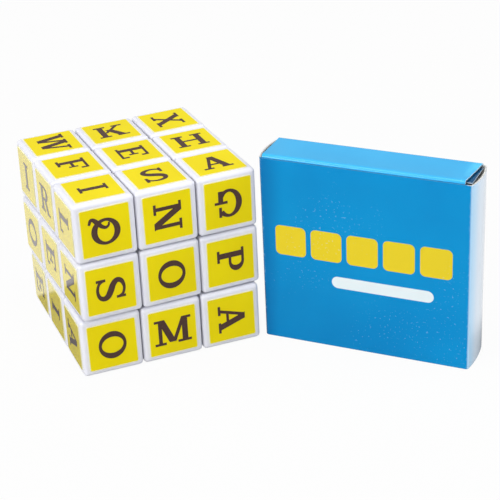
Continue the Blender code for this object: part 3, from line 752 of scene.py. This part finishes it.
cartonInk = {
    # the shade colour is painted shade, laid low on the left of the front and along its left fold
    "blue": rgb(0.001, 0.256, 0.570), "deep": rgb(0.001, 0.228, 0.535), "shade": rgb(0.001, 0.145, 0.385),
    # the third lid blue is a painted highlight for the lid's right-hand end
    "lidBlue": rgb(0.048, 0.465, 0.860), "lidDeep": rgb(0.036, 0.430, 0.820), "lidPaintedHighlight": rgb(0.090, 0.590, 0.920),
    # the flaps' blues are painted shade: darkened overall, and darkest at the crease
    "flapBlueInPaintedShade": rgb(0.004, 0.230, 0.470), "flapCreasePaintedShade": rgb(0.001, 0.070, 0.180),
    "rub": rgb(0.32, 0.58, 0.84), "tile": rgb(0.710, 0.550, 0.020), "white": rgb(0.70, 0.78, 0.81),
    "endPaintedLightNear": rgb(0.42, 0.67, 0.89), "endPaintedLightFar": rgb(0.63, 0.74, 0.86),     # the right-hand end, paled to a pale blue by painted light, more so towards the back
    "tiles": 5, "tileSide": 9.7, "tilePitch": 11.3, "tileLeft": 3.6, "tileMiddle": 33.8, "tileCorner": 1.6,
    "ruleCentre": (38.0, 22.4), "ruleHalf": (15.8, 1.9), "lidPaintedHighlightFrom": 59.0, "flapShade": 7.0,
    "soft": 0.08, "hair": 0.001,              # how gently a printed edge and a row's ends change
}


def frontPrintAndPaintedLight(tint, along, across, high):    # a row of plain tiles and a rule on the front, painted shade low on the left and along the left fold, and the end paled by painted light
    soft, hair = cartonInk["soft"], cartonInk["hair"]
    # painted shade: darker low on the left and along the left fold
    paintedShadeLowLeft = high.fall(4.0, 34.0) * along.fall(20.0, 62.0) * 0.35
    tint = (along.fall(0.0, 8.0) * 0.80).most(paintedShadeLowLeft).between(tint, cartonInk["shade"])
    front = across.fall(0.30, 0.40)
    step, half, tiles = cartonInk["tilePitch"], cartonInk["tileSide"] / 2, cartonInk["tiles"]
    count = (along - cartonInk["tileLeft"]) / step
    cell = count - count.maths("FLOOR", count)
    inRow = count.rise(-hair, hair) * count.fall(tiles - hair, tiles + hair)
    tile = roundedBox(cell * step, high, (step / 2, cartonInk["tileMiddle"]), (half, half),
                      cartonInk["tileCorner"])
    rule = roundedBox(along, high, cartonInk["ruleCentre"], cartonInk["ruleHalf"], cartonInk["ruleHalf"][1])
    tint = (tile.fall(-soft, soft) * inRow * front).between(tint, cartonInk["tile"])
    tint = (rule.fall(-soft, soft) * front).between(tint, cartonInk["white"])
    # painted light: the right-hand end panel is paled
    end = along.rise(carton["width"] - 0.50, carton["width"] - 0.10)
    return end.between(tint, across.rise(0.5, 6.0).between(cartonInk["endPaintedLightNear"], cartonInk["endPaintedLightFar"]))


def printAndPaintedLightLook(name, part, colours):
    look, where, along, across, high = cartonStart(name)
    tint = where.noise(40, 3).rise(0.30, 0.72).between(*(cartonInk[colour] for colour in colours))
    fromEnd = along.least(carton["width"] - along)
    if part == "sleeve":
        tint = frontPrintAndPaintedLight(tint, along, across, high)
    elif part == "lid":                       # its right-hand end carries a painted highlight, in streaks of paler blue
        paintedHighlightStreak = where.noise(260, 3, 0.6, (1.0, 0.3, 1.0)).rise(0.36, 0.60)
        tint = (along.rise(cartonInk["lidPaintedHighlightFrom"], lid["right"]) * paintedHighlightStreak).between(tint, cartonInk["lidPaintedHighlight"])
    else:                                     # painted shade: a flap darkens towards its crease
        tint = fromEnd.fall(0.8, cartonInk["flapShade"]).between(tint, cartonInk["flapCreasePaintedShade"])
    chafe = where.noise(900, 3, 0.65).rise(0.50, 0.68)
    # pale specks in patches: partly dust, partly a painted sheen
    dustAndSheen = where.noise(1300, 2, 0.6).rise(0.62, 0.72) * where.noise(28, 2).rise(0.46, 0.62) * 0.30
    fold = fromEnd.most(across.least(carton["depth"] - across))      # the upright folds and the lid's corners rub
    worn = (fold.fall(0.2, 0.9) * chafe * 0.45 + dustAndSheen).least(1)
    tint = worn.between(tint, cartonInk["rub"])
    rough = 0.12 + 0.08 * where.noise(200, 3) + 0.15 * worn
    fibre = where.noise(1500, 3, 0.6).bump(0.10, 0.03)
    wave = where.noise(45, 1).bump(0.16, 0.25, fibre)
    return dressLook(look, Base_Color=tint, Roughness=rough, Normal=wave, IOR=1.33,
                     Coat_Weight=0.8 * where.slant(0.30, 0.60), Coat_Roughness=0.10)


def boardLook():
    look, where = startLook("greyWhiteBoard")
    fibre = where.noise(1100, 4, 0.7)
    tint = fibre.rise(0.35, 0.65).between(rgb(0.74, 0.73, 0.69), rgb(0.64, 0.62, 0.57))
    return dressLook(look, Base_Color=tint, Roughness=0.75 + 0.1 * fibre, Normal=fibre.bump(0.3, 0.05))


def cutEdgeLook(name, ink, bleed):            # the print bleeds over the front rim, and by a share elsewhere
    look, where, along, across, _ = cartonStart(name)
    plies = where.noise(2500, 2, 0.5, (1.0, 1.0, 3.0))
    tint = plies.rise(0.35, 0.65).between(rgb(0.88, 0.88, 0.86), rgb(0.78, 0.77, 0.74))
    frontRim = across.fall(0.60, 0.85) * along.fall(carton["width"] - 2.0, carton["width"] - 0.5)
    tint = (frontRim.most(bleed) * 0.95).between(tint, cartonInk[ink])
    return dressLook(look, Base_Color=tint, Roughness=0.8 + 0.1 * plies, Normal=plies.bump(0.3, 0.04))


def cardLook():
    look, where = startLook("playingCardStock")
    grain = where.noise(1300, 2)
    cloud = where.noise(80, 2)
    tint = cloud.between(rgb(0.82, 0.82, 0.80), rgb(0.76, 0.76, 0.74))
    return dressLook(look, Base_Color=tint, Roughness=0.42 + 0.12 * grain, Normal=grain.bump(0.12, 0.02),
                     Coat_Weight=0.2, Coat_Roughness=0.3)


def paperLook():
    look, where = startLook("whiteLeafletPaper")
    fibre = where.noise(1600, 3, 0.6)
    tint = where.noise(90, 2).between(rgb(0.84, 0.84, 0.82), rgb(0.78, 0.78, 0.77))
    return dressLook(look, Base_Color=tint, Roughness=0.8 + 0.1 * fibre, Normal=fibre.bump(0.2, 0.03))


def thickenCard(piece, offset):               # print outside, board inside, and the cut edge between them
    wall = piece.modifiers.new("wall", "SOLIDIFY")
    wall.thickness = carton["card"] * mm
    wall.offset = offset
    wall.use_even_offset = True
    wall.material_offset = 1
    wall.material_offset_rim = 2
    evenShading(piece)


def makeSleeve(looks):
    width, depth, rim = carton["width"], carton["depth"], carton["rim"]
    bm = rectangle(width, depth, (width / 2, depth / 2, 0))
    rounded(bm, bm.verts[:], carton["fold"], carton["foldSteps"])
    panels = [edge for edge in bm.edges if edge.calc_length() > carton["longEdge"]]
    bmesh.ops.subdivide_edges(bm, edges=panels, cuts=carton["panelCuts"])
    drawUp(bm, rim)
    mouth = max(bm.faces, key=lambda face: face.calc_center_median().z)
    bmesh.ops.recalc_face_normals(bm, faces=bm.faces[:])
    bmesh.ops.delete(bm, geom=[mouth], context="FACES_ONLY")
    rising = [edge for edge in bm.edges if abs(edge.verts[0].co.z - edge.verts[1].co.z) > carton["longEdge"]]
    bmesh.ops.subdivide_edges(bm, edges=rising, cuts=carton["risingCuts"], use_grid_fill=True)
    for vert in bm.verts:                     # ends bow outwards, and the two broad panels belly a little
        x, y, z = vert.co
        bow = carton["bow"] * (1 + carton["rimBow"] * z / rim) * 4 * (y / depth) * (1 - y / depth)
        belly = carton["belly"] * math.sin(math.pi * x / width)
        belly *= math.sin(math.pi * min(z / rim, 1) * carton["bellyWave"])
        if y < 0.01 or y > depth - 0.01:
            vert.co.y += belly if y > depth / 2 else -belly
        vert.co.x += bow if x > width / 2 else -bow
    base = [edge for edge in bm.edges if all(abs(vert.co.z) < 0.01 for vert in edge.verts)]
    rounded(bm, base, carton["baseFold"], carton["baseSteps"], "EDGES")
    piece = showPiece("card_sleeve", keptMesh(bm, "sleeve", looks), "carton",
                      ["carton_sleeve"], cartonPlace)
    thickenCard(piece, -1)


lid = {
    "crease": (14.7, 60.2), "curl": 13.72, "fold": 0.75, "tuck": 8.0, "left": 0.6,
    "right": 62.2, "rightBack": 63.5, "endInset": 3.0, "corner": 4.0, "sag": 0.10,
    "foldSteps": 5, "topSteps": 10, "tuckSteps": 12, "cuts": 9, "narrowing": 0.7, "lip": 0.08,
}


def lidLine():                                # from back fold to tuck tip: depth, height, left, right
    y, z = lid["crease"]
    fold, curl, tuck, corner = (lid[key] for key in ("fold", "curl", "tuck", "corner"))
    left, right, rightBack = (lid[key] for key in ("left", "right", "rightBack"))
    turns = [step / lid["foldSteps"] * math.pi / 2 for step in range(lid["foldSteps"] + 1)]
    line = [(y, z - fold - lid["lip"], left, rightBack)]
    for angle in turns:
        line.append((y - fold + fold * math.cos(angle), z - fold + fold * math.sin(angle), left, rightBack))
    front = y - curl
    for step in range(1, lid["topSteps"]):
        share = step / lid["topSteps"]
        depth = y - fold + (front + fold - y + fold) * share
        line.append((depth, z - lid["sag"] * math.sin(math.pi * share), left,
                     rightBack + (right - rightBack) * share))
    for angle in turns:
        line.append((front + fold - fold * math.sin(angle), z - fold + fold * math.cos(angle), left, right))
    for step in range(1, lid["tuckSteps"] + 1):
        down = fold + (tuck - fold) * step / lid["tuckSteps"]
        curve = max(0.0, down - tuck + corner)
        inset = lid["endInset"] * min(1, (down - fold) / lid["narrowing"])
        inset += corner - math.sqrt(corner ** 2 - curve ** 2)
        line.append((y - curl * math.cos(down / curl), z - curl * math.sin(down / curl),
                     left + inset, right - inset))
    return line


def makeLid(looks):
    bm = bmesh.new()
    rows = [bm.edges.new([bm.verts.new((left, y, z)), bm.verts.new((right, y, z))])
            for y, z, left, right in lidLine()]
    bridge(bm, rows)
    bmesh.ops.subdivide_edges(bm, edges=rows, cuts=lid["cuts"], use_grid_fill=True)
    bmesh.ops.recalc_face_normals(bm, faces=bm.faces[:])
    flat = max(bm.faces, key=lambda face: face.calc_center_median().z)
    if flat.normal.z < 0:
        bmesh.ops.reverse_faces(bm, faces=bm.faces[:])
    piece = showPiece("card_lid", keptMesh(bm, "lid", looks), "lid",
                      ["carton_lid"], cartonPlace)
    thickenCard(piece, 0)


flap = {"crease": 0.75, "height": 59.55, "lip": 0.10, "length": 9.5, "front": 2.6, "back": 13.8, "slope": 0.52,
        "corner": 1.3, "cornerSteps": 5, "top": 0.15}


def makeDustFlap(side, looks):
    back = flap["back"]
    start, end = -flap["lip"], flap["length"]
    corners = [(start, flap["front"]), (end, flap["front"]),
               (end, back - end * flap["slope"]), (start, back)]
    bm = bmesh.new()
    outline = [bm.verts.new((x, y, 0)) for x, y in corners]
    bm.faces.new(outline)
    rounded(bm, outline[1:3], flap["corner"], flap["cornerSteps"])
    if side == "right":
        resize(bm, (-1, 1, 1))
    crease = flap["crease"] if side == "left" else carton["width"] - flap["crease"]
    move(bm, (crease, 0, flap["height"] - flap["top"]))
    sheet = bm.faces[:]
    bmesh.ops.recalc_face_normals(bm, faces=sheet)
    if sheet[0].normal.z < 0:
        bmesh.ops.reverse_faces(bm, faces=sheet)
    piece = showPiece("card_dust_flap_" + side, keptMesh(bm, "dustFlap", looks), "dust_" + side,
                      ["dust_flap_" + side], cartonPlace)
    thickenCard(piece, -1)


contents = {"left": 0.9, "right": 63.6, "floor": 0.9, "deckHigh": 57.9, "leafHigh": 55.9,
            "deckFront": 4.6, "deckBack": 12.6, "leafFront": 12.9, "leafBack": 14.1, "cards": 24, "corner": 3.0,
            "cornerSteps": 6, "play": 0.03, "slack": (0.3, 0.35), "jogAcross": (0.05, 0.25), "jogUp": (0, 0.30),
            "leaves": 4, "paper": 0.13, "leafFold": 0.16, "leafEnd": 0.25, "leafLift": 0.05, "leafPlay": 0.2}


def makeDeck(looks):
    rng = random.Random(24)
    left, front, floor = (contents[key] for key in ("left", "deckFront", "floor"))
    pile = (contents["deckBack"] - front) / contents["cards"]
    wide = contents["right"] - left - contents["slack"][0]
    high = contents["deckHigh"] - floor - contents["slack"][1]
    placed = []
    for index in range(contents["cards"]):
        bm = rectangle(wide, high)
        rounded(bm, bm.verts[:], contents["corner"], contents["cornerSteps"])
        drawUp(bm, pile - contents["play"])
        card = meshFrom(bm, "card")
        stand = Matrix.Translation((left + wide / 2 + rng.uniform(*contents["jogAcross"]),
                                    front + pile * (index + 1) - contents["play"] / 2,
                                    floor + high / 2 + rng.uniform(*contents["jogUp"])))
        placed.append((card, stand @ Matrix.Rotation(math.pi / 2, 4, "X")))
    mesh = joined("deck", placed, looks)
    showPiece("deck_of_cards", mesh, "carton", ["card_deck"], cartonPlace)


def makeLeaflet(looks):
    leaves, paper, floor = (contents[key] for key in ("leaves", "paper", "floor"))
    step = (contents["leafBack"] - contents["leafFront"] - paper) / (leaves - 1)
    left, right = contents["left"] + contents["leafEnd"], contents["right"] - contents["leafEnd"]
    high = contents["leafHigh"] - floor - contents["leafPlay"]
    first = contents["leafFront"] + paper / 2
    path = []
    for leaf in range(leaves):
        ends = [(left, first + leaf * step), (right, first + leaf * step)]
        path += ends if leaf % 2 == 0 else ends[::-1]
        if leaf < leaves - 1:                 # the sheet turns back on itself in a soft fold
            turn = contents["leafFold"] if leaf % 2 == 0 else -contents["leafFold"]
            path.append((path[-1][0] + turn, first + (leaf + 0.5) * step))
    bm = bmesh.new()
    points = [bm.verts.new((x, y, floor + contents["leafLift"])) for x, y in path]
    lines = [bm.edges.new(pair) for pair in zip(points, points[1:])]
    raised = bmesh.ops.extrude_edge_only(bm, edges=lines)
    bmesh.ops.translate(bm, vec=(0, 0, high), verts=vertsOf(raised))
    mesh = meshFrom(bm, "leaflet", looks)
    piece = showPiece("folded_leaflet", mesh, "carton", ["rules_leaflet"], cartonPlace, sharp=60)
    sheet = piece.modifiers.new("sheet", "SOLIDIFY")
    sheet.thickness = paper * mm
    sheet.offset = 0


def makeCarton():
    board = boardLook()
    makeSleeve([printAndPaintedLightLook("bluePrintWithTilesAndPaintedLight", "sleeve", ("blue", "deep")), board,
                cutEdgeLook("whiteCutEdge", "blue", 0.0)])
    makeLid([printAndPaintedLightLook("lightBluePrintWithPaintedHighlight", "lid", ("lidBlue", "lidDeep")), board,
             cutEdgeLook("inkedCutEdge", "lidBlue", 0.5)])
    flapLooks = [printAndPaintedLightLook("paintedShadeBluePrint", "flap", ("flapBlueInPaintedShade", "flapBlueInPaintedShade")), board,
                 cutEdgeLook("paintedShadeCutEdge", "flapBlueInPaintedShade", 0.5)]
    for side in ("left", "right"):
        makeDustFlap(side, flapLooks)
    makeDeck([cardLook()])
    makeLeaflet([paperLook()])
    print("carton folded and filled")


# floor, world and lamps

studio = {
    "floor": 8.0, "floorTint": rgb(0.62, 0.62, 0.62), "floorShade": rgb(0.60, 0.60, 0.60),
    "seenWhite": 0.95, "mirroredWhite": 0.80, "mirroredDark": 0.22, "world": 0.30,
    "sheetEdge": (-28.5, 30.1), "sheetLean": 0.18, "sheetSoft": 1.5, "rightSheet": (86, 104),
    "lamps": {
        "overhead": {"place": (-0.15, -0.10, 1.1), "aim": (0.0, 0.0, 0.03), "size": 0.9, "power": 7.5},
        "front": {"place": (0.35, -1.25, 0.45), "aim": (0.02, -0.03, 0.03), "size": 0.9, "power": 4.4},
        "left": {"place": (-1.10, -0.30, 0.50), "aim": (0.0, 0.0, 0.03), "size": 0.7, "power": 9.0},
        "right": {"place": (1.10, -0.35, 0.50), "aim": (0.07, -0.07, 0.03), "size": 0.7, "power": 5.5},
    },
}


def makeFloor():
    look, where = startLook("paleFloor")
    tint = where.noise(3, 2).between(studio["floorTint"], studio["floorShade"])
    dressLook(look, Base_Color=tint, Roughness=0.7, Specular_IOR_Level=0.2)
    tree = look.node_tree
    x, y, _ = (part / mm for part in where.parts())
    edge, lean = studio["sheetEdge"], studio["sheetLean"]        # glossy sides mirror a bright sheet behind
    behind = (y - edge[1] + (x - edge[0]) * lean).rise(-studio["sheetSoft"], studio["sheetSoft"])
    sheet = behind.most(x.rise(*studio["rightSheet"]))           # and one on the right; the rest mirrors dark
    flow = Flow(tree)
    seen = flow.node("ShaderNodeLightPath")
    mirrored = Flow(tree, seen.socket.node.outputs["Is Glossy Ray"])
    white, dark, bright = (flow.node("ShaderNodeEmission", None, {"Color": rgb(1, 1, 1), "Strength": strength})
                           for strength in (1.0, studio["mirroredDark"], studio["mirroredWhite"]))
    paint = Flow(tree, tree.nodes["Principled BSDF"].outputs[0])
    lit = flow.node("ShaderNodeMixShader", None, {0: seen * studio["seenWhite"], 1: paint, 2: white})
    mirror = flow.node("ShaderNodeMixShader", None, {0: sheet, 1: dark, 2: bright})
    mixed = flow.node("ShaderNodeMixShader", None, {0: mirrored, 1: lit, 2: mirror})
    tree.links.new(mixed.socket, tree.nodes["Material Output"].inputs[0])
    floor = setDown("floor", meshFrom(rectangle(studio["floor"], studio["floor"]), "floor", [look]))


def makeLight():
    world = bpy.data.worlds.new("softStudio")
    scene.world = world
    world.use_nodes = True
    tree = world.node_tree
    flow = Flow(tree)
    seen = flow.node("ShaderNodeLightPath")
    strength = studio["world"] + seen * (1 - studio["world"])
    tree.nodes["Background"].inputs["Color"].default_value = rgb(1, 1, 1)
    tree.links.new(strength.socket, tree.nodes["Background"].inputs["Strength"])
    for name, lamp in studio["lamps"].items():
        light = bpy.data.lights.new(name, "AREA")
        light.shape = "DISK"
        light.size = lamp["size"]
        light.energy = lamp["power"]
        holder = setDown(name, light)
        holder.location = lamp["place"]
        holder.rotation_euler = (Vector(lamp["aim"]) - Vector(lamp["place"])).to_track_quat("-Z", "Y").to_euler()
    print("floor and lamps set")


makeCamera()
makeFloor()
makeLight()
makeCube([plasticLook(), filmLook(), inkLook(), paleEdgeLook()])
makeStack(steelLook(), darkPlasticLook())
makeCarton()
